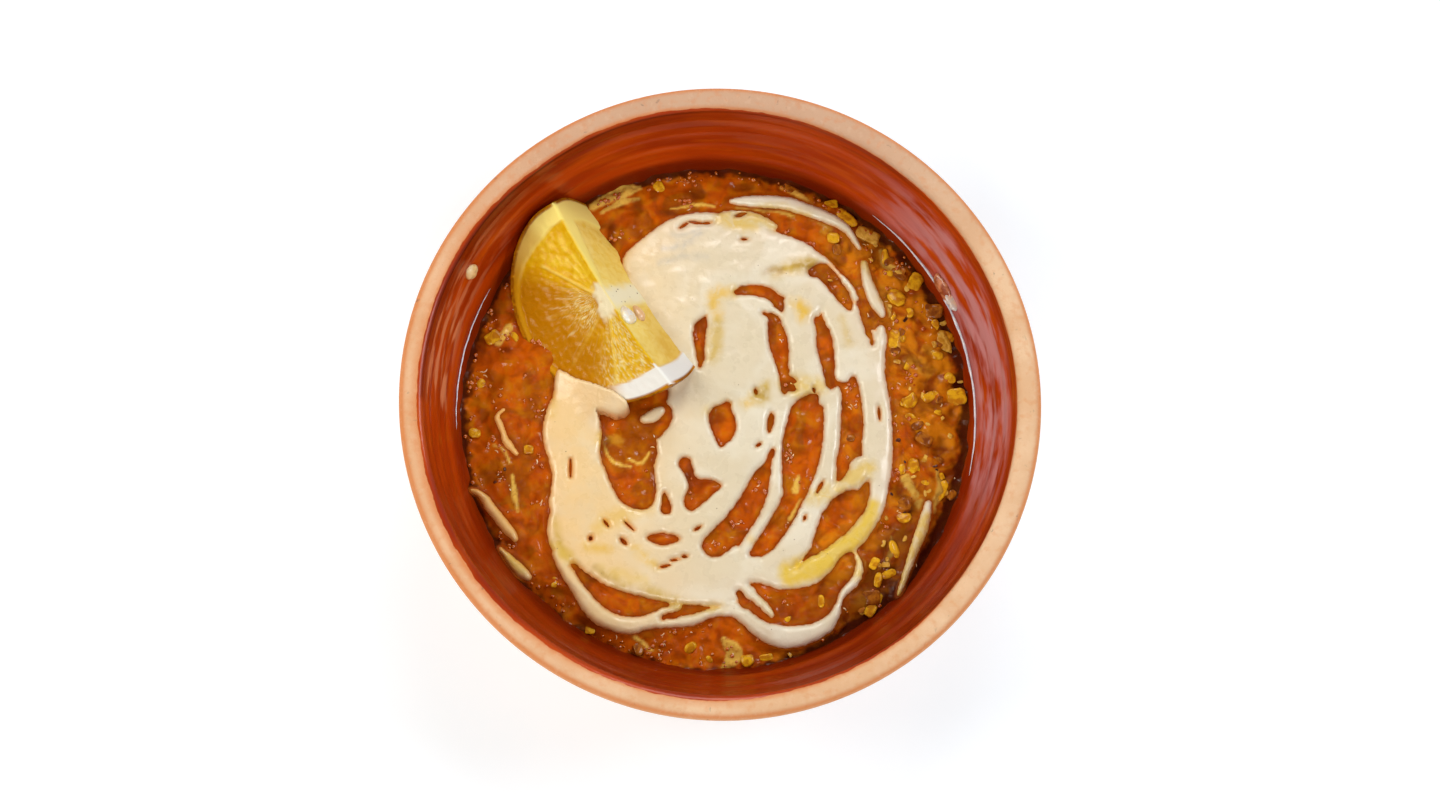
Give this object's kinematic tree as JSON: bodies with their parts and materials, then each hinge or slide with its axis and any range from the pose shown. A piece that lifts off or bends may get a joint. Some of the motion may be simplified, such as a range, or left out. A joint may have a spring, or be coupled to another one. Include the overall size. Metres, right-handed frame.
{
  "type": "bowl of lentil dal",
  "caption": "Round clay bowl, glazed inside, filled with red lentil dal under a swirl of cream, with a lemon wedge resting on top.",
  "frame": {"origin": "middle of the bowl's flat foot, on the surface it stands on", "axes": "+Z up out of the bowl's mouth; seen from above with +Y up, the lemon lies at the upper left"},
  "size_m": [0.18, 0.18, 0.06],
  "materials": {
    "glazed clay": "glossy inside, matt unglazed lip and outside",
    "lentil dal": "wet, uneven",
    "cream": "wet, smooth",
    "lemon": "moist flesh, pale pith, yellow rind"
  },
  "bodies": {
    "root": {"bowl": "glazed clay", "dal": "lentil dal", "cream_swirl": "cream", "cream_streak_top": "cream", "cream_streak_right": "cream", "cream_streak_edge": "cream", "cream_streak_left": "cream", "cream_streak_low": "cream", "cream_streak_wavy": "cream", "cream_drop": "cream", "lemon_wedge": "lemon"}
  },
  "joints": []
}
